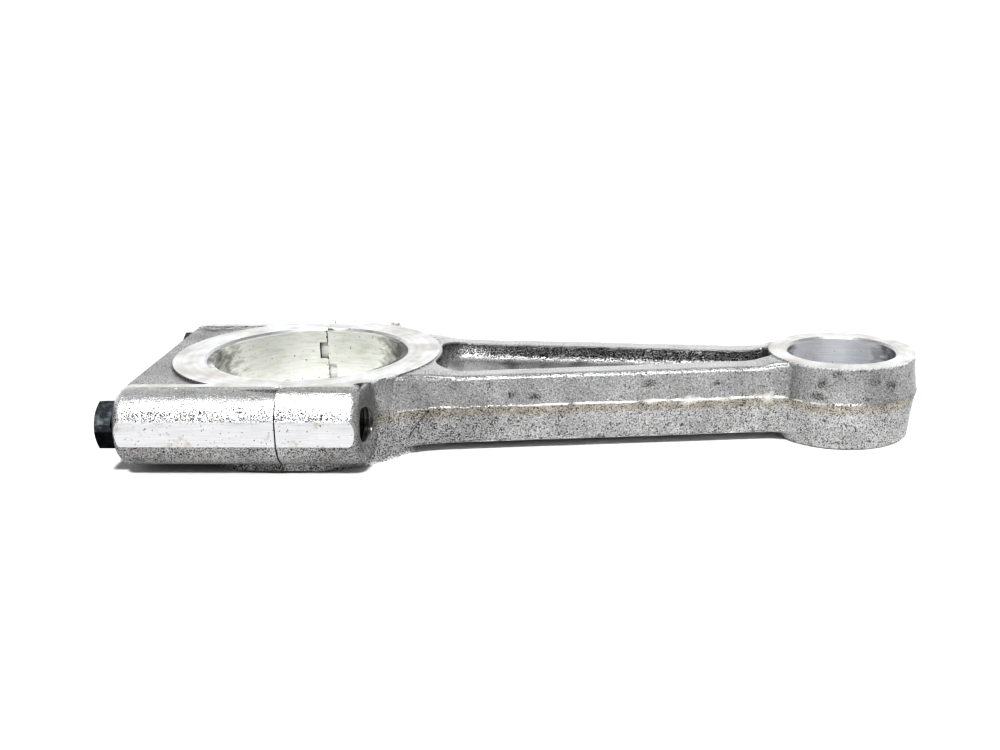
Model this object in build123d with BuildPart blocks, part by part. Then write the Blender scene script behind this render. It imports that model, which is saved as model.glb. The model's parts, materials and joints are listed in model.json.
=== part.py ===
from build123d import *
import math
import os

# Connecting rod with a bolted big-end cap. Millimetres.
# Origin: the centre of the crankpin bore at mid-thickness. +Z runs along the bore,
# +X towards the small end. The cap is split from the rod on the plane X = 0.

os.makedirs("parts", exist_ok=True)

# ---- driving dimensions ----
CENTRES = 195.0  # crankpin bore centre to wrist-pin bore centre
THICKNESS = 30.0  # over the machined faces of both ends
HALF = THICKNESS / 2
BORE_CHAMFER = 0.8

CRANKPIN_R = 35.0  # inside the bearing shells
SHELL_WALL = 2.0
SHELL_WIDTH = 28.4
HOUSING_R = CRANKPIN_R + SHELL_WALL
RING_R = 49.2  # machined thrust ring around the housing bore
WRIST_PIN_R = 19.0

# The forging's parting plane lies above mid-thickness: the lower die is the deeper one,
# and more is machined off the upper faces.
PARTING_Z = 2.0

# big-end block, before it is split
CAP_END_X = -56.0
SHOULDER_X = 28.0
LAND_Y = 57.2  # ground lands on the two sides of the block
BOSS_Y = 44.9  # the block's sides are rounded about this line
BLOCK_BOTTOM_Z = -12.4  # as-forged underside
END_ROLL_R = 3.4  # rounding of the block's end edges
CAP_FACE_DROP = 1.0  # as-forged face of the cap, below the machined ring
CAP_FACE_Y = 42.0

# shank, an I-section with draft on its sides
SHANK_TOP_Z = 13.1
SHANK_BOTTOM_Z = -11.9
DRAFT = 5.0
SHANK_START = (50.0, 28.9)  # X and half width on the parting plane
SHANK_END = (157.0, 17.3)
SHOULDER_FOOT = (28.4, 50.5)  # the shoulder slants from here to the shank
SHOULDER_TOP = (32.6, 35.0)
SHOULDER_BLEND_R = 10.0
FLARE_BLEND_R = 50.0
EYE_BLEND_R = 14.0
SHANK_EDGE_R = 2.0

# pockets in the upper and lower face of the shank
POCKET_DEPTH = 6.0
POCKET_DRAFT = 18.0
POCKET_ARC_R = 50.0  # the pocket's end beside the big end, about the bore
POCKET_START_Y = 21.0
POCKET_END = (170.3, 5.4)
POCKET_CORNER_R = 9.0
POCKET_TIP_R = 4.0
POCKET_FLOOR_R = 4.4
POCKET_LIP_R = 1.0

# small end
EYE_R = 27.0  # on the parting plane
EYE_TOP_R = 25.8
EYE_STEP = (26.5, 2.0)  # the lower die's radius, and its depth below the parting plane
EYE_LOWER_R = 24.6
EYE_FOOT_R = 1.5
EYE_BITE = 1.0  # the shank ends this far inside the eye's rim

# cap bolts, M10 x 1.5 with a hexagon head
BOLT_R = 5.0
BOLT_Y = 48.0
BOLT_Z = 2.5
BOLT_HOLE_R = 5.05
BOLT_END_X = 25.0
HEAD_HEIGHT = 6.4
HEAD_FLATS = 16.0
HEAD_TURN = -16.0  # degrees
HEAD_CHAMFER_R = 7.7
SPOT_FACE_X = CAP_END_X + 0.6
SPOT_FACE_R = 10.3
WASHER_FACE = 0.4
WASHER_FACE_R = 7.7
THREAD_CHAMFER = 1.1

# wire thread inserts in the rod, as plain sleeves
INSERT_R = 5.95
INSERT_X0 = 1.5
INSERT_X1 = 27.0
TAPPED_END_X = 36.0  # the tapped hole runs out through the shoulder
MOUTH_CHAMFER = 0.6

# locating tangs of the bearing shells, on their far side
TANG_LENGTH = 7.0  # along Z
TANG_WIDTH = 3.5  # along X
TANG_Y0 = 36.0
TANG_Y1 = 38.2
TANG_HOLLOW_Y = 36.9  # the tang is pressed out, so the shell is hollow behind it
TANG_GAP = 0.15
TANG_TOOL_Y = 19.0  # the tangs' cutting tools start here, well inside the bore
SHELL_TANG_WALL = 0.3  # wall left around the hollow behind a tang
CAP_TANG_Z = 6.5
ROD_TANG_Z = -2.6

SIDES = {"near": -1, "far": 1}
LONG = 400.0  # longer than the part, for cutting right through it

# ---- the big-end block, cap and rod in one ----
block_length = SHOULDER_X - CAP_END_X


def section(bottom_z):
    """The big end's section across X, with rounded sides, down to bottom_z."""
    with BuildSketch(Plane.YZ.offset(CAP_END_X), mode=Mode.PRIVATE) as outline:
        with BuildLine():
            Line((0, HALF), (BOSS_Y, HALF))
            CenterArc((BOSS_Y, PARTING_Z), HALF - PARTING_Z, 0, 90)
            EllipticalCenterArc((BOSS_Y, PARTING_Z), HALF - PARTING_Z, PARTING_Z - bottom_z, 270, arc_size=90)
            Line((BOSS_Y, bottom_z), (0, bottom_z))
            Line((0, bottom_z), (0, HALF))
        make_face()
        mirror(about=Plane.YZ)
    return outline.sketch


with BuildPart() as block:
    extrude(section(BLOCK_BOTTOM_Z), amount=block_length)
    fillet(block.faces().filter_by(Plane.YZ).edges(), END_ROLL_R)
    with BuildSketch(Plane.XY.offset(-HALF)):
        for side in SIDES.values():
            with Locations((0, side * (LAND_Y + LONG / 2))):
                Rectangle(LONG, LONG)
    extrude(amount=THICKNESS, mode=Mode.SUBTRACT)

# the as-forged face around the cap's ring is lower than the ring
with BuildPart() as cap_faces:
    with BuildSketch(Plane.XY.offset(HALF - CAP_FACE_DROP)):
        with Locations((CAP_END_X, 0)):
            Rectangle(-2 * CAP_END_X, 2 * CAP_FACE_Y)
        Circle(RING_R, mode=Mode.SUBTRACT)
    extrude(amount=CAP_FACE_DROP)

# the machined ring reaches over the shank, within the block's rounded section
with BuildPart() as ring:
    Cylinder(RING_R, THICKNESS)
    extrude(section(-HALF), amount=3 * RING_R, mode=Mode.INTERSECT)

# ---- the shank ----
with BuildSketch(Plane.XY.offset(PARTING_Z)) as shank_outline:
    with BuildLine():
        taper = (SHANK_END[1] - SHANK_START[1]) / (SHANK_END[0] - SHANK_START[0])
        eye_y = SHANK_END[1] + taper * (CENTRES - SHANK_END[0])
        side = [(0, 0), (0, SHOULDER_FOOT[1]), SHOULDER_FOOT, SHOULDER_TOP, SHANK_START]
        Polyline(*side, (CENTRES, eye_y), (CENTRES, 0), close=True)
    make_face()
    mirror(about=Plane.XZ)
    fillet([v for v in vertices() if abs(v.X - SHOULDER_TOP[0]) < 0.1], SHOULDER_BLEND_R)
    fillet([v for v in vertices() if abs(v.X - SHANK_START[0]) < 0.1], FLARE_BLEND_R)
    with Locations((CENTRES, 0)):
        Circle(EYE_R - EYE_BITE)
    fillet([v for v in vertices() if SHANK_END[0] < v.X < CENTRES - 5], EYE_BLEND_R)

with BuildSketch(Plane.XY.offset(SHANK_TOP_Z)) as pocket_outline:
    with BuildLine():
        arc_x = math.sqrt(POCKET_ARC_R**2 - POCKET_START_Y**2)
        ThreePointArc((arc_x, -POCKET_START_Y), (POCKET_ARC_R, 0), (arc_x, POCKET_START_Y))
        Line((arc_x, POCKET_START_Y), POCKET_END)
        Line(POCKET_END, (POCKET_END[0], -POCKET_END[1]))
        Line((POCKET_END[0], -POCKET_END[1]), (arc_x, -POCKET_START_Y))
    make_face()
    fillet([v for v in vertices() if v.X < POCKET_ARC_R], POCKET_CORNER_R)
    fillet([v for v in vertices() if v.X > POCKET_END[0] - 1], POCKET_TIP_R)

with BuildPart() as pocket:
    extrude(pocket_outline.sketch, amount=-POCKET_DEPTH, taper=POCKET_DRAFT)
    fillet(pocket.faces().sort_by(Axis.Z)[0].edges(), POCKET_FLOOR_R)


def shank_half(height):
    """The drafted half of the shank below the parting plane, with its face's edge rounded."""
    with BuildPart(mode=Mode.PRIVATE) as half:
        extrude(shank_outline.sketch, amount=HALF, taper=DRAFT)
        split(bisect_by=Plane.XY.offset(PARTING_Z - height), keep=Keep.TOP)
        narrow_face = half.faces().filter_by(Plane.XY).sort_by(SortBy.AREA)[0]
        fillet(narrow_face.edges(), SHANK_EDGE_R)
    return half.part


lower_half = shank_half(PARTING_Z - SHANK_BOTTOM_Z)
upper_half = shank_half(SHANK_TOP_Z - PARTING_Z).mirror(Plane.XY.offset(PARTING_Z))
under_pocket = pocket.part.mirror(Plane.XY.offset((SHANK_TOP_Z + SHANK_BOTTOM_Z) / 2))

with BuildPart() as shank:
    for shank_side in (lower_half, upper_half):
        add(shank_side)
    for face_pocket in (pocket.part, under_pocket):
        add(face_pocket, mode=Mode.SUBTRACT)
    pocket_lips = [
        edge
        for face in shank.faces().filter_by(Plane.XY)
        for wire in face.inner_wires()
        for edge in wire.edges()
    ]
    fillet(pocket_lips, POCKET_LIP_R)

# ---- the small end ----
with BuildPart() as eye:
    with BuildSketch(Plane.XZ):
        with BuildLine():
            step_r, step_depth = EYE_STEP
            rim = [(EYE_TOP_R, HALF), (EYE_R, PARTING_Z), (step_r, PARTING_Z - step_depth)]
            Polyline((0, HALF), *rim, (EYE_LOWER_R, -HALF), (0, -HALF), close=True)
        make_face()
        fillet(vertices().sort_by(Axis.Y)[0:2].sort_by(Axis.X)[-1], EYE_FOOT_R)
    revolve(axis=Axis.Z)
eye_solid = eye.part.moved(Location((CENTRES, 0, 0)))


def bore_tool(x, radius):
    """A bore through both faces, with its chamfers, standing at x."""
    reach = HALF + 1
    flare = radius + BORE_CHAMFER + 1
    with BuildPart(mode=Mode.PRIVATE) as tool:
        with BuildSketch(Plane.XZ):
            with BuildLine():
                wall = [(x + radius, HALF - BORE_CHAMFER), (x + radius, BORE_CHAMFER - HALF)]
                Polyline((x, reach), (x + flare, reach), *wall, (x + flare, -reach), (x, -reach), close=True)
            make_face()
        revolve(axis=Axis((x, 0, 0), (0, 0, 1)))
    return tool.part


# ---- the whole forging, with its machined holes ----
with BuildPart() as forging:
    add(block.part)
    add(cap_faces.part, mode=Mode.SUBTRACT)
    add(ring.part)
    add(shank.part)
    add(eye_solid)
    for x, radius in [(0, HOUSING_R), (CENTRES, WRIST_PIN_R)]:
        add(bore_tool(x, radius), mode=Mode.SUBTRACT)


def hole_tool(profile, y):
    """A solid of revolution about a bolt axis, from (X, radius) pairs."""
    with BuildPart(mode=Mode.PRIVATE) as tool:
        with BuildSketch(Plane.XY.offset(BOLT_Z)):
            with BuildLine():
                Polyline(*[(x, y + radius) for x, radius in profile], close=True)
            make_face()
        revolve(axis=Axis((0, y, BOLT_Z), (1, 0, 0)))
    return tool.part


def tang_box(x_side, y0, y1, z, gap=0.0):
    """A block at a shell's tang, with its nearer face on the split plane."""
    with BuildPart(mode=Mode.PRIVATE) as tang:
        with BuildSketch(Plane.XY.offset(z - TANG_LENGTH / 2 - gap)):
            with Locations((x_side * (TANG_WIDTH + gap) / 2, (y0 + y1 + gap) / 2)):
                Rectangle(TANG_WIDTH + gap, y1 + gap - y0)
        extrude(amount=TANG_LENGTH + 2 * gap)
    return tang.part


# ---- rod and cap, split from the forging ----
with BuildPart() as rod:
    add(forging.part)
    split(bisect_by=Plane.YZ, keep=Keep.TOP)
    for y in (side * BOLT_Y for side in SIDES.values()):
        mouth = INSERT_R + MOUTH_CHAMFER
        tapped = [(-1, 0), (-1, mouth + 1), (MOUTH_CHAMFER, INSERT_R)]
        tapped += [(TAPPED_END_X, INSERT_R), (TAPPED_END_X, 0)]
        add(hole_tool(tapped, y), mode=Mode.SUBTRACT)
    add(tang_box(1, TANG_TOOL_Y, TANG_Y1, ROD_TANG_Z, TANG_GAP), mode=Mode.SUBTRACT)
rod.part.label = "connecting_rod"
export_step(rod.part, "parts/connecting_rod.step")

with BuildPart() as cap:
    add(forging.part)
    split(bisect_by=Plane.YZ, keep=Keep.BOTTOM)
    for y in (side * BOLT_Y for side in SIDES.values()):
        clear_x = CAP_END_X - 1
        reamed = [(clear_x, 0), (clear_x, SPOT_FACE_R), (SPOT_FACE_X, SPOT_FACE_R)]
        reamed += [(SPOT_FACE_X, BOLT_HOLE_R), (1, BOLT_HOLE_R), (1, 0)]
        add(hole_tool(reamed, y), mode=Mode.SUBTRACT)
    add(tang_box(-1, TANG_TOOL_Y, TANG_Y1, CAP_TANG_Z, TANG_GAP), mode=Mode.SUBTRACT)
cap.part.label = "bearing_cap"
export_step(cap.part, "parts/bearing_cap.step")

# ---- bearing shells ----
shells = [("rod_bearing_shell", 1, ROD_TANG_Z), ("cap_bearing_shell", -1, CAP_TANG_Z)]
for node, x_side, tang_z in shells:
    with BuildPart() as shell:
        with BuildSketch(Plane.XY.offset(-SHELL_WIDTH / 2)):
            Circle(HOUSING_R)
            Circle(CRANKPIN_R, mode=Mode.SUBTRACT)
            with Locations((-x_side * LONG / 2, 0)):
                Rectangle(LONG, LONG, mode=Mode.SUBTRACT)
        extrude(amount=SHELL_WIDTH)
        add(tang_box(x_side, TANG_Y0, TANG_Y1, tang_z))
        add(tang_box(x_side, TANG_TOOL_Y, TANG_HOLLOW_Y, tang_z, -SHELL_TANG_WALL), mode=Mode.SUBTRACT)
    shell.part.label = node
    export_step(shell.part, f"parts/{node}.step")

# ---- cap bolts and thread inserts ----
head_face_x = SPOT_FACE_X - HEAD_HEIGHT
head_corner_r = HEAD_FLATS / 2 / math.cos(math.radians(30))
head_slope = (head_corner_r - HEAD_CHAMFER_R) * math.tan(math.radians(30))
for name, side in SIDES.items():
    y = side * BOLT_Y
    with BuildPart() as bolt:
        with BuildSketch(Plane.YZ.offset(head_face_x)):
            with Locations((y, BOLT_Z)):
                RegularPolygon(HEAD_FLATS / 2, 6, major_radius=False, rotation=HEAD_TURN)
        extrude(amount=HEAD_HEIGHT - WASHER_FACE)
        turned = [(head_face_x, 0), (head_face_x, HEAD_CHAMFER_R)]
        turned += [(head_face_x + head_slope, head_corner_r), (SPOT_FACE_X, head_corner_r), (SPOT_FACE_X, 0)]
        add(hole_tool(turned, y), mode=Mode.INTERSECT)
        stem = [(SPOT_FACE_X - WASHER_FACE, 0), (SPOT_FACE_X - WASHER_FACE, WASHER_FACE_R)]
        stem += [(SPOT_FACE_X, WASHER_FACE_R), (SPOT_FACE_X, BOLT_R), (BOLT_END_X - THREAD_CHAMFER, BOLT_R)]
        stem += [(BOLT_END_X, BOLT_R - THREAD_CHAMFER), (BOLT_END_X, 0)]
        add(hole_tool(stem, y))
    bolt.part.label = f"{name}_cap_bolt"
    export_step(bolt.part, f"parts/{name}_cap_bolt.step")

    with BuildPart() as insert:
        sleeve = [(INSERT_X0, BOLT_HOLE_R), (INSERT_X0, INSERT_R)]
        sleeve += [(INSERT_X1, INSERT_R), (INSERT_X1, BOLT_HOLE_R)]
        add(hole_tool(sleeve, y))
    insert.part.label = f"{name}_thread_insert"
    export_step(insert.part, f"parts/{name}_thread_insert.step")
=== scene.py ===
import json
import math

import bpy
import numpy as np
from mathutils import Matrix, Vector, noise


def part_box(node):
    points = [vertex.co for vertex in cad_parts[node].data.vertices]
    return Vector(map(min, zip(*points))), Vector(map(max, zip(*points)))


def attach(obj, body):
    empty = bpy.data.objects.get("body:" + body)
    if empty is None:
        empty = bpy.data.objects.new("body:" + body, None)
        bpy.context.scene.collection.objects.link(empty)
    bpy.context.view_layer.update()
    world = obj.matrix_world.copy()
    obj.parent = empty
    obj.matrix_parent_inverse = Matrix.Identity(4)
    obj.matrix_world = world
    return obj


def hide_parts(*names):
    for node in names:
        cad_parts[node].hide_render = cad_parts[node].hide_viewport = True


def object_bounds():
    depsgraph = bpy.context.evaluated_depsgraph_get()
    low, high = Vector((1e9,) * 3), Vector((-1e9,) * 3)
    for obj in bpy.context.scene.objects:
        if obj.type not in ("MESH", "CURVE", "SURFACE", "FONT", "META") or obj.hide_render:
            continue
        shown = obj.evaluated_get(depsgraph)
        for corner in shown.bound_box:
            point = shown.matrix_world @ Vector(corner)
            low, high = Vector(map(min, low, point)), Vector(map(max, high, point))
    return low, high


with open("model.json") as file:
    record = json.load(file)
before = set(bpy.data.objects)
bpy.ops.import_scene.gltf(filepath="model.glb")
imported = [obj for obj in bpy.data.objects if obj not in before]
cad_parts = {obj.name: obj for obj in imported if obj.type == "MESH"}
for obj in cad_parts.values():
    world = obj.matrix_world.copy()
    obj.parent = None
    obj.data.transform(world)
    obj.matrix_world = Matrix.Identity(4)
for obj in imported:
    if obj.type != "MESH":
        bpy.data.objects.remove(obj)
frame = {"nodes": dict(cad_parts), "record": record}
cad_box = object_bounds()

# The CAD model is the frame. Sizes below are in millimetres, in the part's own frame: the origin
# is the crankpin bore's centre, +X runs to the small end and the floor is at the lowest point.
MM = 0.001

record = frame["record"]
mounts = {mount["name"]: mount for mount in record["mounts"]}
joints = {joint["name"]: joint for joint in record["behaviour"]["joints"]}
couplings = {row["joint"]: row for row in record["behaviour"]["couplings"]}


def box_mm(node):
    """Lowest and highest corner of a CAD node, in millimetres."""
    low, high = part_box(node)
    return np.array(low) / MM, np.array(high) / MM


_, rod_high = box_mm("connecting_rod")
cap_low, _ = box_mm("bearing_cap")
bolt_low, bolt_high = box_mm("near_cap_bolt")
insert_low, insert_high = box_mm("near_thread_insert")

# ---- sizes ----
CRANKPIN_R = mounts["crankpin_bore"]["dims"]["r_mm"]
WRIST_PIN_R = mounts["wrist_pin_bore"]["dims"]["r_mm"]
SMALL_X = mounts["wrist_pin_bore"]["pos_m"][0] / MM
BOLT_Y = abs(joints["near_bolt_turn"]["pos_m"][1]) / MM
BOLT_Z = joints["near_bolt_turn"]["pos_m"][2] / MM
PITCH = 2 * math.pi / couplings["near_bolt_turn"]["ratio"] / MM
HALF = rod_high[2]
LAND_Y = rod_high[1]
CAP_END_X = cap_low[0]

PARTING_Z = 2.0  # the forging dies met here
HOUSING_R = CRANKPIN_R + 2.0
BORE_CHAMFER = 0.8
RING_R = 49.2
SHOULDER_X = 28.0
BLOCK_FLAT_Y = 43.0  # the block's sides are rounded beyond this
SPOT_FACE_R = 10.3
INSERT_R = insert_high[1] + BOLT_Y
TAPPED_X0 = insert_high[0] - 0.6
TAPPED_DEPTH = 0.62  # of the thread tapped in the rod

POCKET_START = (45.4, 21.0)  # X and half width of the shank's pockets
POCKET_END = (170.3, 5.4)
POCKET_TOP_Z = 13.1
POCKET_UNDER_Z = -11.9

FLASH_HEIGHT = 3.2  # of the trimmed flash band below the parting line
FLASH_STEP = 0.28  # how far the band stands proud of the sides above it
JOINT_EASE = 0.15  # the edges at the split are eased by this
JOINT_LINE = 0.2  # and dark dirt fills this much on each side

EYE_TOP_R = 25.8
TANG_WIDTH = 3.6  # along X
RING_STEP = 0.3  # the shank's faces end this far below the machined rings
RISE_DEPTH = 5.0  # how far down the shank's sides the rise is felt

# longest edges of the refined meshes, on each kind of surface
FORGED_EDGE = 2.2
ROUNDED_EDGE = 4.0
PLAIN_EDGE = 9.0
FINE_EDGE = 0.6
THREAD_EDGE = 0.45

FORGED, TURNED, GROUND, BORED, DRILLED, SPLIT, JOINT = range(7)


# ---- mesh tools ----
def node_mesh(node):
    """A CAD node's corner points in millimetres, welded together, and its triangles."""
    mesh = frame["nodes"][node].data
    points = np.empty(len(mesh.vertices) * 3, np.float32)
    mesh.vertices.foreach_get("co", points)
    mesh.calc_loop_triangles()
    tris = np.empty(len(mesh.loop_triangles) * 3, np.int32)
    mesh.loop_triangles.foreach_get("vertices", tris)
    points = points.reshape(-1, 3).astype(float) / MM
    _, first, index = np.unique(np.round(points, 3), axis=0, return_index=True, return_inverse=True)
    tris = index.reshape(-1)[tris.reshape(-1, 3)].astype(np.int64)
    whole = (tris[:, 0] != tris[:, 1]) & (tris[:, 1] != tris[:, 2]) & (tris[:, 2] != tris[:, 0])
    return points[first], tris[whole]


def triangle_normals(points, tris):
    """Each triangle's normal, as long as twice its area."""
    a, b, c = (points[tris[:, corner]] for corner in range(3))
    return np.cross(b - a, c - a)


def unit(vectors):
    return vectors / (np.linalg.norm(vectors, axis=1, keepdims=True) + 1e-12)


def unique_edges(tris):
    """The mesh's edges as index pairs, and for each triangle's side which edge it is."""
    pairs = np.sort(tris[:, [[0, 1], [1, 2], [2, 0]]].reshape(-1, 2), axis=1)
    code = pairs[:, 0] * (tris.max() + 1) + pairs[:, 1]
    _, first, where = np.unique(code, return_index=True, return_inverse=True)
    return pairs[first], where.reshape(-1)


def split_triangles(points, tris, kinds, cut):
    """Splits each triangle at its cut sides. cut has the new point on each side, or -1."""
    marked = cut >= 0
    count = marked.sum(axis=1)
    new_tris = [tris[count == 0]]
    new_kinds = [kinds[count == 0]]

    def turned(chosen, first_side):
        order = (first_side[:, None] + np.arange(3)) % 3
        corners = np.take_along_axis(tris[chosen], order, 1)
        middles = np.take_along_axis(cut[chosen], order, 1)
        return corners.T, middles.T

    def keep(chosen, *corner_sets):
        for corners in corner_sets:
            new_tris.append(np.stack(corners, axis=1))
            new_kinds.append(kinds[chosen])

    one = count == 1
    (a, b, c), (m, _, _) = turned(one, marked[one].argmax(axis=1))
    keep(one, (a, m, c), (m, b, c))

    two = count == 2
    (a, b, c), (m, n, _) = turned(two, (marked[two].argmin(axis=1) + 1) % 3)
    across = np.linalg.norm(points[a] - points[n], axis=1) < np.linalg.norm(points[m] - points[c], axis=1)
    keep(two, (m, b, n), (a, m, np.where(across, n, c)), (np.where(across, a, m), n, c))

    three = count == 3
    (a, b, c), (m, n, p) = turned(three, np.zeros(three.sum(), int))
    keep(three, (a, m, p), (m, b, n), (n, c, p), (m, n, p))
    return np.concatenate(new_tris), np.concatenate(new_kinds)


def refine(points, tris, kinds, target):
    """Halves every edge longer than target(middles, kinds at the edge) until none is left."""
    while True:
        pairs, where = unique_edges(tris)
        middles = (points[pairs[:, 0]] + points[pairs[:, 1]]) / 2
        touching = np.zeros((len(pairs), SPLIT + 1), bool)
        touching[where, np.repeat(kinds, 3)] = True
        length = np.linalg.norm(points[pairs[:, 0]] - points[pairs[:, 1]], axis=1)
        long = length > target(middles, touching)
        if not long.any():
            return points, tris, kinds
        index = np.full(len(pairs), -1)
        index[long] = len(points) + np.arange(long.sum())
        points = np.vstack([points, middles[long]])
        tris, kinds = split_triangles(points, tris, kinds, index[where].reshape(-1, 3))


def corner_sum(tris, values, count):
    """Adds each triangle's values to its three corners."""
    at = tris.reshape(-1)
    columns = [np.bincount(at, np.repeat(column, 3), count) for column in values.T]
    return np.stack(columns, axis=1)


def smooth_step(low, high, values):
    t = np.clip((values - low) / (high - low), 0, 1)
    return t * t * (3 - 2 * t)


def noise_at(points, size, seed):
    """Smooth noise from -1 to 1 with features of this size."""
    shift = Vector((17.3, 5.1, 9.7)) * seed
    return np.array([noise.noise(Vector(point) + shift) for point in points / size])


def make_piece(name, points, faces, materials, face_materials=None, sharp=35.0):
    """A mesh object from millimetre points, shaded smooth except along its sharp edges."""
    mesh = bpy.data.meshes.new(name)
    mesh.from_pydata((points * MM).tolist(), [], faces if isinstance(faces, list) else faces.tolist())
    for material in materials:
        mesh.materials.append(material)
    if face_materials is not None:
        mesh.polygons.foreach_set("material_index", np.asarray(face_materials, np.int32))
    mesh.polygons.foreach_set("use_smooth", np.ones(len(mesh.polygons), bool))
    mesh.set_sharp_from_angle(angle=math.radians(sharp))
    mesh.update()
    piece = bpy.data.objects.new(name, mesh)
    bpy.context.scene.collection.objects.link(piece)
    return piece


# ---- procedural finishes ----
class Finish:
    """A material on the Principled shader, with short ways to add nodes to it."""

    def __init__(self, name, **sockets):
        self.material = bpy.data.materials.new(name)
        self.material.use_nodes = True
        self.tree = self.material.node_tree
        self.shader = next(n for n in self.tree.nodes if n.type == "BSDF_PRINCIPLED")
        for socket, value in sockets.items():
            self.shader.inputs[socket.replace("_", " ").title()].default_value = value
        place = self.tree.nodes.new("ShaderNodeTexCoord")
        self.mm = self.vector("SCALE", place.outputs["Object"], scale=1 / MM)

    def add(self, kind, inputs, **settings):
        made = self.tree.nodes.new(kind)
        for name, value in settings.items():
            setattr(made, name, value)
        for key, value in inputs.items():
            if isinstance(value, bpy.types.NodeSocket):
                self.tree.links.new(value, made.inputs[key])
            else:
                made.inputs[key].default_value = value
        return made

    def vector(self, operation, first, second=None, scale=None):
        inputs = {0: first}
        if second is not None:
            inputs[1] = second
        if scale is not None:
            inputs["Scale"] = scale
        made = self.add("ShaderNodeVectorMath", inputs, operation=operation)
        return made.outputs["Value" if operation in ("LENGTH", "DISTANCE") else "Vector"]

    def math(self, operation, first, second=0.0, clamp=False):
        made = self.add("ShaderNodeMath", {0: first, 1: second}, operation=operation, use_clamp=clamp)
        return made.outputs[0]

    def noise(self, size, detail=2.0, stretch=(1, 1, 1), place=None, roughness=0.5):
        """Noise from 0 to 1 with features of size mm, stretched along the axes."""
        scaled = self.vector("DIVIDE", place or self.mm, tuple(size * s for s in stretch))
        inputs = {"Vector": scaled, "Scale": 1.0, "Detail": detail, "Roughness": roughness}
        return self.add("ShaderNodeTexNoise", inputs).outputs["Fac"]

    def span(self, value, low, high, to_low=0.0, to_high=1.0):
        """Maps low..high to to_low..to_high, clamped."""
        inputs = {"Value": value, "From Min": low, "From Max": high, "To Min": to_low, "To Max": to_high}
        return self.add("ShaderNodeMapRange", inputs).outputs["Result"]

    def mix(self, factor, first, second, blend="MIX"):
        made = self.tree.nodes.new("ShaderNodeMix")
        made.data_type = "RGBA"
        made.blend_type = blend
        sockets = {s.identifier: s for s in made.inputs}
        chosen = {"Factor_Float": factor, "A_Color": first, "B_Color": second}
        for key, value in chosen.items():
            if isinstance(value, bpy.types.NodeSocket):
                self.tree.links.new(value, sockets[key])
            else:
                sockets[key].default_value = value
        return next(s for s in made.outputs if s.identifier == "Result_Color")

    def grey(self, value):
        """The value as a neutral colour."""
        made = self.add("ShaderNodeCombineColor", {0: value, 1: value, 2: value})
        return made.outputs[0]

    def attribute(self, name):
        return self.add("ShaderNodeAttribute", {}, attribute_name=name).outputs["Fac"]

    def bump(self, height, depth, strength=1.0, after=None):
        """A bump of depth mm. after is a normal to add it to."""
        inputs = {"Height": height, "Distance": depth * MM, "Strength": strength}
        if after is not None:
            inputs["Normal"] = after
        return self.add("ShaderNodeBump", inputs).outputs["Normal"]

    def set(self, socket, value):
        self.tree.links.new(value, self.shader.inputs[socket])


def colour(red, green, blue):
    return (red, green, blue, 1.0)


def forged_finish():
    """As-forged, shot-blasted light alloy. The mesh carries its tone, with painted light and shade in it,
    its pits, its stains, with painted shade at the foot of the cap's ring, its flash, and its burr, with a
    painted highlight.
    """
    skin = Finish("forged_skin", metallic=1.0)
    tone, pits, flash, burr_and_highlight, stain_and_shade = (skin.attribute(n) for n in ("tone", "pits", "flash", "burr_and_highlight", "stain_and_shade"))
    grain = skin.noise(0.5, detail=2.5, roughness=0.62)
    coarse = skin.noise(2.2, detail=3.0)
    cloud = skin.noise(11.0, detail=2.0)

    level = skin.span(pits, 0.0, 1.0, 0.30, 0.49)
    level = skin.math("ADD", level, skin.span(coarse, 0.3, 0.7, -0.05, 0.06))
    below = skin.math("SUBTRACT", level, grain)
    speck = skin.span(below, -0.05, 0.09)

    clean = skin.math("MULTIPLY", tone, skin.span(grain, 0.35, 0.65, 0.7, 1.3))
    clean = skin.math("MULTIPLY", clean, skin.span(cloud, 0.3, 0.7, 0.9, 1.08))
    clean = skin.math("MINIMUM", clean, 0.95)
    base = skin.grey(clean)
    base = skin.mix(speck, base, skin.mix(1.0, base, colour(0.36, 0.355, 0.35), "MULTIPLY"))
    tan = skin.mix(1.0, base, colour(0.90, 0.85, 0.77), "MULTIPLY")
    base = skin.mix(skin.math("MULTIPLY", flash, skin.span(coarse, 0.36, 0.56, 0.45, 1.0)), base, tan)
    # darker for stains, and for painted shade at the foot of the cap's ring
    stain_and_shade_colour = skin.mix(1.0, base, colour(0.17, 0.18, 0.17), "MULTIPLY")
    stain_and_shade_blend = skin.math("MULTIPLY", stain_and_shade, skin.span(grain, 0.4, 0.6, 1.0, 0.35), clamp=True)
    base = skin.mix(stain_and_shade_blend, base, stain_and_shade_colour)
    # the burr's whitish line, partly a painted highlight of the flash's ledge
    base = skin.mix(skin.math("MULTIPLY", burr_and_highlight, 0.9), base, colour(0.9, 0.9, 0.88))
    skin.set("Base Color", base)
    skin.set("Metallic", skin.span(burr_and_highlight, 0.0, 1.0, 1.0, 0.15))
    skin.set("Roughness", skin.span(speck, 0, 1, 0.42, 0.75))
    relief = skin.math("SUBTRACT", skin.span(grain, 0.3, 0.7), skin.math("MULTIPLY", speck, 0.6))
    skin.set("Normal", skin.bump(coarse, 0.25, 0.5, skin.bump(relief, 0.12, 0.75)))
    return skin.material


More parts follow.
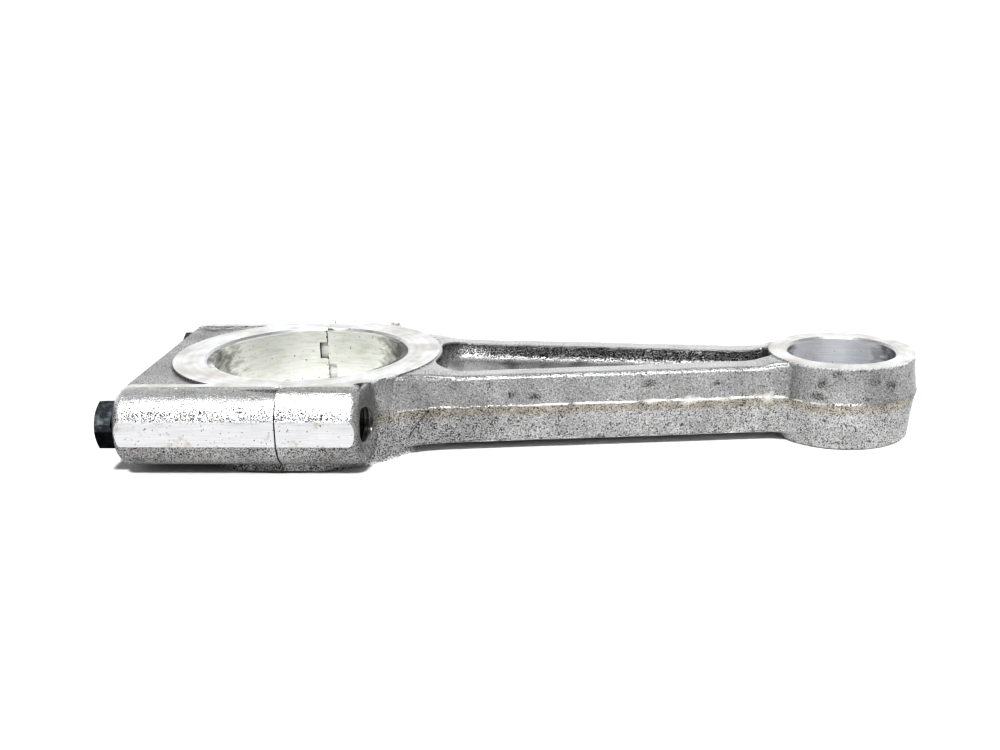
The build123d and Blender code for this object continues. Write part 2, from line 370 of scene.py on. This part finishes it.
def turned_finish():
    """Faced on a lathe or mill: fine rings about the nearer bore."""
    face = Finish("turned_face", metallic=1.0)
    flat = face.vector("MULTIPLY", face.mm, (1, 1, 0))
    crank = face.vector("LENGTH", flat)
    wrist = face.vector("DISTANCE", flat, (SMALL_X, 0, 0))
    reach = face.math("MINIMUM", crank, wrist)
    ring_place = face.add("ShaderNodeCombineXYZ", {0: reach}).outputs[0]
    fine = face.noise(0.35, detail=3.0, place=ring_place)
    broad = face.noise(2.4, detail=2.0, place=ring_place)
    smear = face.noise(9.0, detail=3.0)
    handled = face.noise(3.0, detail=4.0, stretch=(1, 2.5, 1))
    tone = face.span(fine, 0.3, 0.7, 0.92, 1.05)
    tone = face.math("MULTIPLY", tone, face.span(broad, 0.35, 0.65, 0.94, 1.04))
    tone = face.math("MULTIPLY", tone, face.span(handled, 0.3, 0.6, 0.93, 1.0))
    warm = face.mix(face.span(smear, 0.42, 0.62), colour(0.93, 0.935, 0.94), colour(0.86, 0.85, 0.825))
    face.set("Base Color", face.mix(1.0, warm, face.grey(tone), "MULTIPLY"))
    face.set("Roughness", face.span(smear, 0.3, 0.7, 0.3, 0.42))
    face.set("Normal", face.bump(fine, 0.02, 0.5))
    return face.material


def ground_finish():
    """Ground flat: fine straight scratches along X, with faint brown handling stains."""
    face = Finish("ground_face", metallic=1.0)
    scratch = face.noise(0.3, detail=3.0, stretch=(30, 1, 1))
    blur = face.noise(5.0, detail=4.0, roughness=0.6)
    fleck = face.noise(0.8, detail=2.0)
    base = face.mix(face.span(blur, 0.58, 0.76), colour(0.82, 0.82, 0.83), colour(0.66, 0.61, 0.55))
    base = face.mix(face.span(fleck, 0.69, 0.74), base, colour(0.25, 0.22, 0.2))
    base = face.mix(1.0, base, face.grey(face.span(scratch, 0.3, 0.7, 0.93, 1.04)), "MULTIPLY")
    face.set("Base Color", base)
    face.set("Roughness", face.span(scratch, 0.3, 0.7, 0.4, 0.52))
    face.set("Normal", face.bump(scratch, 0.02, 0.5))
    return face.material


def bored_finish(name, tint, dirt, roughness, centre_x=None, reach=None):
    """Bored wall: fine marks around the bore, with smudges. Painted shade darkens it along X towards the
    bore's two sides, along the rod, if centre_x and reach are given.
    """
    wall = Finish(name, metallic=0.7)
    marks = wall.noise(0.3, detail=2.0, stretch=(40, 40, 1))
    smudge = wall.noise(7.0, detail=5.0, stretch=(1.6, 1.0, 0.45), roughness=0.65)
    fleck = wall.noise(1.1, detail=2.0)
    base = wall.mix(wall.span(smudge, 0.42, 0.68), tint, dirt)
    base = wall.mix(wall.span(fleck, 0.70, 0.76), base, colour(0.12, 0.12, 0.1))
    base = wall.mix(1.0, base, wall.grey(wall.span(marks, 0.3, 0.7, 0.92, 1.05)), "MULTIPLY")
    # painted shade: darker along X from 0.74 to 1.0 of reach off centre_x, and beyond
    if reach is not None:
        x = wall.add("ShaderNodeSeparateXYZ", {0: wall.mm}).outputs["X"]
        off = wall.math("ABSOLUTE", wall.math("SUBTRACT", x, centre_x))
        blurred = wall.math("ADD", off, wall.span(smudge, 0.3, 0.7, -0.12 * reach, 0.12 * reach))
        painted_end_shade = wall.grey(wall.span(blurred, 0.74 * reach, 1.0 * reach, 1.0, 0.3))
        base = wall.mix(1.0, base, painted_end_shade, "MULTIPLY")
    wall.set("Base Color", base)
    wall.set("Roughness", wall.span(smudge, 0.3, 0.7, roughness, roughness + 0.15))
    wall.set("Normal", wall.bump(marks, 0.02, 0.4))
    return wall.material


def black_oxide_finish():
    """Blackened steel, rubbed a little on its high spots."""
    steel = Finish("black_oxide", metallic=1.0)
    grain = steel.noise(0.5, detail=4.0, roughness=0.65)
    rub = steel.noise(2.6, detail=4.0, roughness=0.6)
    base = steel.mix(steel.span(rub, 0.48, 0.72), colour(0.04, 0.045, 0.05), colour(0.13, 0.14, 0.145))
    base = steel.mix(steel.span(grain, 0.6, 0.75), base, colour(0.2, 0.21, 0.21))
    # painted light and shade: the steel is lighter above the bolt's axis and much darker below it
    height = steel.add("ShaderNodeSeparateXYZ", {0: steel.mm}).outputs["Z"]
    painted_light_by_height = steel.grey(steel.span(height, BOLT_Z - 0.4, BOLT_Z + 0.4, 0.3, 2.2))
    base = steel.mix(1.0, base, painted_light_by_height, "MULTIPLY")
    steel.set("Base Color", base)
    steel.set("Roughness", steel.span(grain, 0.3, 0.7, 0.38, 0.6))
    steel.set("Normal", steel.bump(grain, 0.05, 0.6))
    return steel.material


def wire_finish():
    """Bright drawn stainless wire."""
    wire = Finish("drawn_wire", metallic=1.0)
    draw = wire.noise(0.4, detail=3.0, stretch=(1, 6, 6))
    drawn = wire.span(draw, 0.3, 0.7)
    wire.set("Base Color", wire.mix(drawn, colour(0.55, 0.54, 0.52), colour(0.8, 0.8, 0.8)))
    wire.set("Roughness", wire.span(draw, 0.3, 0.7, 0.22, 0.4))
    wire.set("Normal", wire.bump(draw, 0.02, 0.4))
    return wire.material


# ---- the two forgings ----
# Marks on the near side, as (X, Z, half length, half height, strength).
NEAR_STAINS = [
    (125.3, 8.4, 1.6, 1.1, 1.0),
    (148.9, 7.6, 1.5, 1.2, 1.0),
    (124.0, 4.2, 1.0, 1.6, 0.7),
    (58.0, 10.4, 1.2, 0.7, 0.7),
    (69.5, 9.6, 1.6, 0.8, 0.7),
    (77.0, 5.6, 2.2, 1.3, 0.85),
    (85.3, 4.9, 2.4, 1.6, 1.0),
    (184.3, 9.1, 1.8, 1.3, 1.0),
    (189.1, 11.6, 1.5, 1.1, 0.9),
    (197.2, 13.6, 2.2, 0.8, 1.0),
    (202.3, 9.6, 2.0, 1.4, 0.8),
    (208.5, 8.0, 2.2, 1.6, 0.8),
    (199.7, 4.0, 1.4, 1.2, 0.8),
    (183.0, 4.6, 2.6, 1.1, 1.0),
    (-24.5, 9.2, 6.0, 1.2, 0.7),
    (-38.0, 8.6, 7.0, 1.0, 0.6),
]
FOLD = ((48.0, 1.4), (41.3, -7.6))  # an oblique fold in the forging, near side, X and Z
FOLD_DEPTH = 0.45
FOLD_HALF_WIDTH = 0.4


def from_fold(points):
    """Distance in the side view from the fold's line."""
    start, end = (np.array(end) for end in FOLD)
    along = end - start
    place = points[:, [0, 2]] - start
    t = np.clip(place @ along / (along @ along), 0, 1)
    return np.linalg.norm(place - t[:, None] * along, axis=1)


def forging_kinds(points, tris):
    """Which operation made each triangle's surface."""
    middle = points[tris].mean(axis=1)
    normal = unit(triangle_normals(points, tris))
    x, y, z = middle.T
    across_x, across_y, across_z = (np.abs(normal) > 0.998).T
    side = np.sign(y) * BOLT_Y
    from_bolt = np.hypot(y - side, z - BOLT_Z)
    inward = -((y - side) * normal[:, 1] + (z - BOLT_Z) * normal[:, 2])
    kinds = np.full(len(tris), FORGED)
    kinds[across_z & (np.abs(z) > HALF - 0.05)] = TURNED
    kinds[across_y & (np.abs(y) > LAND_Y - 0.05)] = GROUND
    kinds[across_x & (x < CAP_END_X + 2) & (x > CAP_END_X + 0.3) & (from_bolt < SPOT_FACE_R + 0.1)] = GROUND
    housing = np.hypot(x, y) < HOUSING_R + BORE_CHAMFER + 0.6
    wrist = np.hypot(x - SMALL_X, y) < WRIST_PIN_R + BORE_CHAMFER - 0.05
    kinds[(housing & ~across_z) | (wrist & ~across_z)] = BORED
    kinds[(kinds == BORED) & (np.abs(normal[:, 2]) > 0.5)] = GROUND
    kinds[(from_bolt < INSERT_R + 0.8) & (inward > 0.7 * from_bolt) & (x < TAPPED_X0 + 12)] = DRILLED
    kinds[across_x & (np.abs(x) < 0.02)] = SPLIT
    return kinds


def forging_target(middles, touching):
    """The longest edge allowed at each place on a forging."""
    x, y, z = middles.T
    forged = touching[:, FORGED]
    drilled = touching[:, DRILLED]
    only_split = touching[:, SPLIT] & (touching.sum(axis=1) == 1)
    target = np.where(forged, FORGED_EDGE, PLAIN_EDGE)
    beside_flash = forged & ((x > SHOULDER_X) | (x < CAP_END_X + 1))
    target = np.where(beside_flash, np.minimum(target, FINE_EDGE + 0.6 * np.abs(z - PARTING_Z)), target)
    in_pocket = (np.abs(y) < POCKET_START[1]) & (np.abs(z) < POCKET_TOP_Z)
    along_shank = forged & (x > RING_R) & (x < SMALL_X - EYE_TOP_R) & ((np.abs(z) > 10.5) | in_pocket)
    target = np.where(along_shank, ROUNDED_EDGE, target)
    near_side = forged & (y < 0)
    target = np.where(near_side, np.minimum(target, FINE_EDGE + 0.6 * from_fold(middles)), target)
    to_thread = np.maximum(TAPPED_X0 - x, np.maximum(x - 3.0, 0) * (x < TAPPED_X0 / 2))
    threaded = drilled & (x > 0)
    target = np.where(threaded, np.minimum(target, THREAD_EDGE + np.clip(to_thread, 0, 20)), target)
    joint = np.minimum(target, JOINT_LINE + 0.9 * np.abs(x))
    return np.where(only_split, PLAIN_EDGE, joint)


def thread_depth(x, angle):
    """0 at a thread's crest to 1 at its root, for a right-hand thread along X."""
    phase = np.mod(x / PITCH - angle / (2 * math.pi), 1.0)
    from_crest = np.abs(phase - 0.5) * PITCH
    return np.clip((from_crest - 0.09) / 0.52, 0, 1)


def pocket_masks(points, normals):
    """How far each point is into a pocket's wall and into its floor, from 0 to 1."""
    x, y, z = points.T
    narrowing = (POCKET_START[1] - POCKET_END[1]) / (POCKET_END[0] - POCKET_START[0])
    half_width = POCKET_START[1] - narrowing * (x - POCKET_START[0])
    inside = (np.abs(y) < half_width + 0.4) & (x > POCKET_START[0]) & (x < POCKET_END[0] + 0.4)
    sunk = np.where(z > 0, POCKET_TOP_Z - z, z - POCKET_UNDER_Z)
    deep = inside * smooth_step(0.25, 0.8, sunk)
    steep = smooth_step(0.12, 0.5, 1 - np.abs(normals[:, 2]))
    return deep * steep, deep * (1 - steep)


def rise_to_ring(points, centre_x, ring_r, reach):
    """Lifts the shank's upper faces towards the machined ring about a bore."""
    x, y, z = points.T
    near = smooth_step(ring_r + reach, ring_r, np.hypot(x - centre_x, y))
    sunk = POCKET_TOP_Z - z
    lift = (HALF - RING_STEP - POCKET_TOP_Z) * near * smooth_step(RISE_DEPTH, 0.0, sunk)
    upper = (x > 0) & (z > 0) & (sunk > -0.3)
    points[:, 2] += lift * upper


def forging_piece(name, node, materials):
    """A dense copy of a forging's CAD node, with its as-forged skin worked into the mesh."""
    points, tris = node_mesh(node)
    kinds = forging_kinds(points, tris)
    points, tris, kinds = refine(points, tris, kinds, forging_target)
    count = len(points)

    crosses = triangle_normals(points, tris)
    touched = corner_sum(tris, np.eye(SPLIT + 1)[kinds], count) > 0
    crosses[kinds == SPLIT] = 0
    normals = unit(corner_sum(tris, crosses, count))
    x, y, z = points.T
    only_forged = touched[:, FORGED] & (touched.sum(axis=1) == 1)
    pairs, _ = unique_edges(tris)
    beside = np.bincount(pairs.ravel(), only_forged[pairs[:, ::-1].ravel()], count)
    beside /= np.bincount(pairs.ravel(), minlength=count)
    skin = only_forged * beside**2

    # relief of the forged skin
    broad = noise_at(points, 14.0, 1)
    middling = noise_at(points, 3.6, 2)
    small = noise_at(points, 1.5, 3)
    along = np.stack([x, np.sign(y) * 40, np.zeros(count)], axis=1)
    line_z = PARTING_Z + 0.3 * noise_at(along, 12.0, 4) + 0.22 * noise_at(along, 2.1, 5)
    over = z - line_z
    wall, floor = pocket_masks(points, normals)
    upright = smooth_step(0.75, 0.55, np.abs(normals[:, 2])) * (1 - np.maximum(wall, floor))
    flashed = upright * (smooth_step(SHOULDER_X - 0.5, SHOULDER_X + 2, x) + (x < CAP_END_X + 0.8))
    ragged_foot = FLASH_HEIGHT + 0.9 * middling
    above = smooth_step(-0.05, 0.2, over)
    band = flashed * smooth_step(-ragged_foot - 0.7, -ragged_foot + 0.4, over) * (1 - above)
    under = smooth_step(0.3, -0.6, over)
    step = FLASH_STEP * flashed * (1 - band * (0.75 + 0.25 * smooth_step(-0.9, -0.2, over)))
    sink = 0.10 + 0.10 * broad + 0.07 * middling + (0.03 + 0.06 * under + 0.07 * wall) * small
    folded = (y < 0) * upright * smooth_step(FOLD_HALF_WIDTH, 0.0, from_fold(points) + 0.25 * small)
    sink = np.maximum(sink, 0) + step + FOLD_DEPTH * folded
    points = points - normals * (sink * skin)[:, None]

    for centre_x, ring_r, reach in ((0, RING_R, 15.0), (SMALL_X, EYE_TOP_R, 9.0)):
        rise_to_ring(points, centre_x, ring_r, reach)

    # the edges at the split are eased
    outside = touched[:, FORGED] | touched[:, TURNED] | touched[:, GROUND]
    at_split = (np.abs(x) < 1e-3) & outside & ~touched[:, DRILLED] & ~touched[:, BORED]
    points[at_split] -= normals[at_split] * JOINT_EASE

    # threads cut in the rod, where the insert doesn't hide them
    side = np.sign(y) * BOLT_Y
    angle = np.arctan2(z - BOLT_Z, y - side)
    shown = touched[:, DRILLED] & (touched.sum(axis=1) == 1) & (x > 0)
    shown &= (x > insert_high[0] - 0.3) | ((x > 0.9) & (x < insert_low[0] + 0.4))
    radius = INSERT_R - TAPPED_DEPTH * (1 - thread_depth(x, angle))
    cut = np.stack([x, side + radius * np.cos(angle), BOLT_Z + radius * np.sin(angle)], axis=1)
    points[shown] = cut[shown]

    # tone of the skin, with painted light and shade in it; lighter towards the small end and a little
    # lighter under the parting line beside the flash; the pocket walls are darkest
    block = smooth_step(SHOULDER_X + 0.5, SHOULDER_X - 2.5, x)
    rolled = block * smooth_step(BLOCK_FLAT_Y - 1.0, BLOCK_FLAT_Y + 2.0, np.abs(y))
    narrow = (1 - block) * smooth_step(0.8, 0.95, np.abs(normals[:, 2])) * (1 - wall) * (1 - floor)
    near_land = smooth_step(HALF - 2.5, HALF - 7.0, np.abs(z)) * rolled
    outward = smooth_step(SHOULDER_X, 110, x)
    # painted light: the cap's faces that point up are lighter
    tone = 0.49 + 0.07 * broad + 0.15 * (x < 0) * (normals[:, 2] > 0.7) + 0.06 * outward
    # painted highlight: the block's rounding above the parting line is much lighter than below it
    tone += 0.05 * under * flashed + rolled * np.where(z > PARTING_Z, 0.36, 0.02)
    # painted light on the shank's flat faces and on the pocket floors
    tone += 0.46 * narrow + 0.36 * floor
    # painted shade darkens the pocket walls; near the pocket's start, away from its top edge, it turns to
    # painted light
    pocket_start_lit = smooth_step(POCKET_START[0] + 24, POCKET_START[0] + 12, x)
    pocket_start_lit *= smooth_step(0.5, 2.5, POCKET_TOP_Z - z)
    tone += wall * (0.45 * pocket_start_lit - 0.36)
    # painted shade on the block's upper rounding next to the lands
    tone -= 0.30 * near_land * (z > PARTING_Z)
    tone = np.clip(tone, 0.05, 0.92)
    pits = 0.2 + 0.1 * middling + (0.5 - 0.22 * outward) * under * (1 - block) + 0.6 * wall + 0.12 * floor
    pits += rolled * np.where(z > PARTING_Z, 0.60 * near_land - 0.25, 0.5)
    pits = np.clip(pits - 0.25 * narrow, 0, 1)
    stain_and_shade = np.zeros(count)
    wander = 0.5 * small + 0.3 * middling
    for sx, sz, half_x, half_z, strength in NEAR_STAINS:
        reach = np.hypot((x - sx) / half_x, (z - sz) / half_z) + wander
        stain_and_shade = np.maximum(stain_and_shade, strength * smooth_step(1.15, 0.5, reach) * (y < 0))
    scattered = noise_at(points, 5.5, 6)
    stain_and_shade = np.maximum(stain_and_shade, 0.85 * smooth_step(0.42, 0.6, scattered) * (y > -10) * (1 - narrow))
    # painted shade at the foot of the machined ring on the cap, kept with the stains
    ring_foot = (np.abs(z) < HALF - 0.3) * smooth_step(RING_R + 0.7, RING_R + 0.1, np.hypot(x, y)) * (x < 0)
    stain_and_shade = np.maximum(np.maximum(stain_and_shade, folded), 0.8 * ring_foot)
    # a whitish, barely metallic line along the top of the flash band: the trimmed burr, with a painted
    # highlight of its ledge
    burr_and_highlight = flashed * smooth_step(-0.45, -0.2, over) * smooth_step(0.5, 0.25, over)
    burr_and_highlight *= smooth_step(70, 95, x) * smooth_step(SMALL_X - 6, SMALL_X - 16, x)
    burr_and_highlight *= smooth_step(-0.5, -0.1, noise_at(along, 3.0, 7) + 0.3 * small)
    flash = band + 0.5 * rolled * (z < PARTING_Z) * smooth_step(0.1, 0.5, scattered)

    rim = at_split & ~touched[:, TURNED] & (np.hypot(x, y) > RING_R)
    outer = (kinds == FORGED) | (kinds == GROUND)
    kinds[rim[tris].any(axis=1) & outer] = JOINT

    piece = make_piece(name, points, tris, materials, kinds)
    layers = {"tone": tone, "pits": pits, "flash": np.clip(flash, 0, 1), "burr_and_highlight": burr_and_highlight, "stain_and_shade": stain_and_shade}
    for layer, values in layers.items():
        attribute = piece.data.attributes.new(layer, "FLOAT", "POINT")
        attribute.data.foreach_set("value", values.astype(np.float32))
    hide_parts(node)
    return piece


# ---- bearing shells ----
CLEAN, DARK_JOINT_AND_SHADE = range(2)


def shell_piece(name, node, materials):
    """A bearing shell with eased edges at the split, dark dirt beside the cap shell's joint, and painted
    shade on the walls of its tang's hollow.
    """
    points, tris = node_mesh(node)
    low, high = box_mm(node)
    normal = unit(triangle_normals(points, tris))
    x, y, z = points[tris].mean(axis=1).T
    split = (np.abs(normal[:, 0]) > 0.998) & (np.abs(x) < 0.02)
    hollow = (y > 0) & (np.abs(x) < TANG_WIDTH) & (np.abs(z) < high[2] - 0.1)
    hollow &= (np.hypot(x, y) > CRANKPIN_R + 0.02) & (np.abs(normal[:, 1]) < 0.7) & ~split
    kinds = np.where(split, SPLIT, np.where(hollow, GROUND, BORED))

    def target(middles, touching):
        only_split = touching[:, SPLIT] & (touching.sum(axis=1) == 1)
        return np.where(only_split, PLAIN_EDGE, np.minimum(2.5, FINE_EDGE + 0.6 * np.abs(middles[:, 0])))

    points, tris, kinds = refine(points, tris, kinds, target)
    crosses = triangle_normals(points, tris)
    crosses[kinds == SPLIT] = 0
    normals = unit(corner_sum(tris, crosses, len(points)))
    inner = np.hypot(points[:, 0], points[:, 1]) < CRANKPIN_R + 0.05
    eased = inner & (np.abs(points[:, 0]) < 1e-3)
    points[eased] -= normals[eased] * JOINT_EASE
    beside_joint = eased[tris].any(axis=1) & (kinds != SPLIT)
    # painted shade on the walls of the tang's hollow, and dark dirt beside the joint on the cap's shell
    dark_joint_and_shade_faces = (kinds == GROUND) | (beside_joint & (low[0] < -1))
    piece = make_piece(name, points, tris, materials, np.where(dark_joint_and_shade_faces, DARK_JOINT_AND_SHADE, CLEAN))
    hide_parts(node)
    return piece


# ---- bolts and wire inserts ----
BOLT_R = 5.0
THREAD_ROOT = 0.9  # depth of the bolt's thread
THREAD_X0 = -4.0
TIP_CHAMFER = 1.1
HEAD_HEIGHT = 6.4
HEAD_FLATS = 16.0
HEAD_CHAMFER_R = 7.7
WASHER_FACE = 0.4
WASHER_FACE_R = 7.7
COLUMNS = 72


def head_turn(node, y):
    """The angle of one of the bolt head's corners about its axis."""
    points, _ = node_mesh(node)
    radius = np.hypot(points[:, 1] - y, points[:, 2] - BOLT_Z)
    corner = points[radius.argmax()]
    return math.atan2(corner[2] - BOLT_Z, corner[1] - y)


def bolt_piece(name, node, side, material):
    """A hexagon-head bolt with a chamfered head and a real right-hand thread."""
    y = side * BOLT_Y
    turn = head_turn(node, y)
    angle = turn + np.arange(COLUMNS) * 2 * math.pi / COLUMNS
    hexagon = HEAD_FLATS / 2 / np.cos(np.mod(angle - turn, math.pi / 3) - math.pi / 6)
    hexagon = np.minimum(hexagon, hexagon.max() - 0.12)
    ones = np.ones(COLUMNS)
    head_x = bolt_low[0]
    seat_x = head_x + HEAD_HEIGHT
    rows = [(head_x * ones, r * ones) for r in (2.5, 5.0, HEAD_CHAMFER_R - 0.4, HEAD_CHAMFER_R)]
    for t in (0.5, 1.0):
        radius = HEAD_CHAMFER_R + t * (hexagon - HEAD_CHAMFER_R)
        rows.append((head_x + (radius - HEAD_CHAMFER_R) * math.tan(math.radians(30)), radius))
    for t in (0.35, 0.7, 1.0):
        rows.append((rows[5][0] + t * (seat_x - WASHER_FACE - rows[5][0]), hexagon))
    for x, r in [(seat_x - WASHER_FACE, WASHER_FACE_R), (seat_x, WASHER_FACE_R), (seat_x, BOLT_R + 0.3)]:
        rows.append((x * ones, r * ones))
    for x in np.linspace(seat_x + 0.3, THREAD_X0, 12):
        rows.append((x * ones, BOLT_R * ones))
    end_x = bolt_high[0]
    for x in np.arange(THREAD_X0 + PITCH / 12, end_x, PITCH / 12):
        run_in = smooth_step(THREAD_X0, THREAD_X0 + 2 * PITCH, x)
        radius = BOLT_R - THREAD_ROOT * run_in * thread_depth(x, angle)
        rows.append((x * ones, np.minimum(radius, BOLT_R - max(0.0, x - (end_x - TIP_CHAMFER)))))
    rows += [(end_x * ones, r * ones) for r in (BOLT_R - TIP_CHAMFER - 0.2, 1.5)]

    grid = [np.stack([x, y + r * np.cos(angle), BOLT_Z + r * np.sin(angle)], axis=1) for x, r in rows]
    points = np.concatenate([[[head_x, y, BOLT_Z]], *grid, [[end_x, y, BOLT_Z]]])
    column = np.arange(COLUMNS)
    following = (column + 1) % COLUMNS
    faces = [[0, 1 + int(b), 1 + int(a)] for a, b in zip(column, following)]
    for row in range(len(rows) - 1):
        start, end = 1 + row * COLUMNS, 1 + (row + 1) * COLUMNS
        for a, b in zip(column.tolist(), following.tolist()):
            faces.append([start + a, start + b, end + b, end + a])
    last = 1 + (len(rows) - 1) * COLUMNS
    faces += [[last + int(a), last + int(b), len(points) - 1] for a, b in zip(column, following)]
    piece = make_piece(name, points, faces, [material], sharp=28.0)
    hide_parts(node)
    return piece


WIRE_INNER_R = 4.42
WIRE_HALF = 0.46  # half the wire's width, at its middle radius
TURN_STEPS = 48


def insert_piece(name, node, side, material):
    """A wire thread insert: a coil of diamond wire that fits the bolt's thread."""
    y = side * BOLT_Y
    outer = INSERT_R - 0.01
    middle = outer - WIRE_HALF * math.tan(math.radians(60))
    section = [(outer, 0.0), (middle, WIRE_HALF), (WIRE_INNER_R, 0.0), (middle, -WIRE_HALF)]
    turns = (insert_high[0] - insert_low[0] - 2 * WIRE_HALF) / PITCH
    first = math.ceil((insert_low[0] + WIRE_HALF) / PITCH * TURN_STEPS)
    steps = first + np.arange(int(turns * TURN_STEPS))
    points = []
    for step in steps:
        angle = 2 * math.pi * step / TURN_STEPS
        x = PITCH * step / TURN_STEPS
        for radius, shift in section:
            points.append((x + shift, y + radius * math.cos(angle), BOLT_Z + radius * math.sin(angle)))
    faces = [[3, 2, 1, 0]]
    for row in range(len(steps) - 1):
        for a in range(4):
            b = (a + 1) % 4
            faces.append([row * 4 + a, row * 4 + b, row * 4 + 4 + b, row * 4 + 4 + a])
    end = (len(steps) - 1) * 4
    faces.append([end, end + 1, end + 2, end + 3])
    piece = make_piece(name, np.array(points), faces, [material], sharp=30.0)
    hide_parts(node)
    return piece


# ---- build ----
forged = forged_finish()
turned = turned_finish()
ground = ground_finish()
bored_tints = colour(0.97, 0.98, 1.0), colour(0.88, 0.89, 0.90)
# the wrist-pin bore gets painted shade towards its two sides along X; the crank housing's wall, far from
# centre_x, is darkened by it throughout
bored = bored_finish("bored_alloy", *bored_tints, 0.42, SMALL_X, WRIST_PIN_R)
OVERLAY_MIDDLE_X = -4.0  # the painted shade towards the shells' two sides along X lies evenly about this
overlay_tints = colour(1.0, 1.0, 0.98), colour(0.82, 0.84, 0.77)
overlay = bored_finish("bearing_overlay", *overlay_tints, 0.4, OVERLAY_MIDDLE_X, CRANKPIN_R)
# near-black: dark dirt along the joints, and painted shade on the walls of the shells' tang hollows
dark_joint_and_shade_finish = bored_finish("dark_joint_and_painted_shade", colour(0.05, 0.052, 0.045), colour(0.02, 0.02, 0.018), 0.4)
tapped = bored_finish("tapped_wall", colour(0.30, 0.30, 0.29), colour(0.06, 0.06, 0.055), 0.3)
black_oxide = black_oxide_finish()
drawn_wire = wire_finish()
forging_materials = [forged, turned, ground, bored, tapped, ground, dark_joint_and_shade_finish]

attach(forging_piece("rod_forging", "connecting_rod", forging_materials), "rod")
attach(forging_piece("cap_forging", "bearing_cap", forging_materials), "cap")
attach(shell_piece("rod_shell", "rod_bearing_shell", [overlay, dark_joint_and_shade_finish]), "rod")
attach(shell_piece("cap_shell", "cap_bearing_shell", [overlay, dark_joint_and_shade_finish]), "cap")
for where, side in (("near", -1), ("far", 1)):
    bolt = bolt_piece(f"{where}_bolt", f"{where}_cap_bolt", side, black_oxide)
    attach(bolt, f"{where}_bolt")
    insert = insert_piece(f"{where}_wire_insert", f"{where}_thread_insert", side, drawn_wire)
    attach(insert, "rod")


# ---- floor, lights and camera ----
def floor_finish():
    """Matt white paper."""
    paper = Finish("white_paper", roughness=0.9, metallic=0.0)
    tooth = paper.noise(6.0, detail=3.0)
    paper.set("Base Color", paper.mix(tooth, colour(0.93, 0.93, 0.935), colour(0.95, 0.95, 0.95)))
    return paper.material


FLOOR_HALF = 4.0  # metres
floor_z = cad_box[0].z
corners = [(-1, -1), (1, -1), (1, 1), (-1, 1)]
floor_points = np.array([(x * FLOOR_HALF, y * FLOOR_HALF, floor_z) for x, y in corners]) / MM
floor = make_piece("paper_floor", floor_points, [[0, 1, 2, 3]], [floor_finish()])


def studio_world(horizon, zenith, front):
    """A white studio: horizon is its brightness low down, zenith overhead and front the share of these
    on the near side.
    """
    world = bpy.data.worlds.new("studio")
    world.use_nodes = True
    tree = world.node_tree
    direction = tree.nodes.new("ShaderNodeTexCoord").outputs["Generated"]
    apart = tree.nodes.new("ShaderNodeSeparateXYZ")
    tree.links.new(direction, apart.inputs[0])
    level = tree.nodes.new("ShaderNodeMath")
    level.operation = "MULTIPLY"
    ramps = [("Z", 0.35, 0.75, horizon, zenith), ("Y", -0.3, 0.3, front, 1.0)]
    for index, (axis, *ends) in enumerate(ramps):
        ramp = tree.nodes.new("ShaderNodeMapRange")
        tree.links.new(apart.outputs[axis], ramp.inputs["Value"])
        for name, value in zip(("From Min", "From Max", "To Min", "To Max"), ends):
            ramp.inputs[name].default_value = value
        tree.links.new(ramp.outputs["Result"], level.inputs[index])
    tree.nodes["Background"].inputs["Color"].default_value = colour(1, 1, 1)
    tree.links.new(level.outputs[0], tree.nodes["Background"].inputs["Strength"])
    return world


def sun(name, place, energy, angle):
    """A sun that shines from place, in metres, to the rod's middle."""
    data = bpy.data.lights.new(name, "SUN")
    data.energy = energy
    data.angle = math.radians(angle)
    holder = bpy.data.objects.new(name, data)
    holder.location = place
    aim = Vector((SMALL_X / 2 * MM, 0, 0)) - Vector(place)
    holder.rotation_euler = aim.to_track_quat("-Z", "Y").to_euler()
    bpy.context.scene.collection.objects.link(holder)


bpy.context.scene.world = studio_world(1.25, 0.45, 0.4)
bpy.context.scene.view_settings.view_transform = "Standard"
bpy.context.scene.view_settings.gamma = 0.58
sun("key", (0.06, -0.85, 1.0), 3.3, 8)

camera_data = bpy.data.cameras.new("camera")
camera_data.sensor_width = 36
camera_data.lens = 45.5
camera_data.clip_start = 0.01
camera = bpy.data.objects.new("camera", camera_data)
pitch, yaw, roll = 0.277, -0.073, -0.023
turn = Matrix.Rotation(-yaw, 4, "Z") @ Matrix.Rotation(math.pi / 2 - pitch, 4, "X")
turn @= Matrix.Rotation(roll, 4, "Z")
camera.matrix_world = Matrix.Translation((0.10407, -0.44876, 0.13382)) @ turn
bpy.context.scene.collection.objects.link(camera)
bpy.context.scene.camera = camera
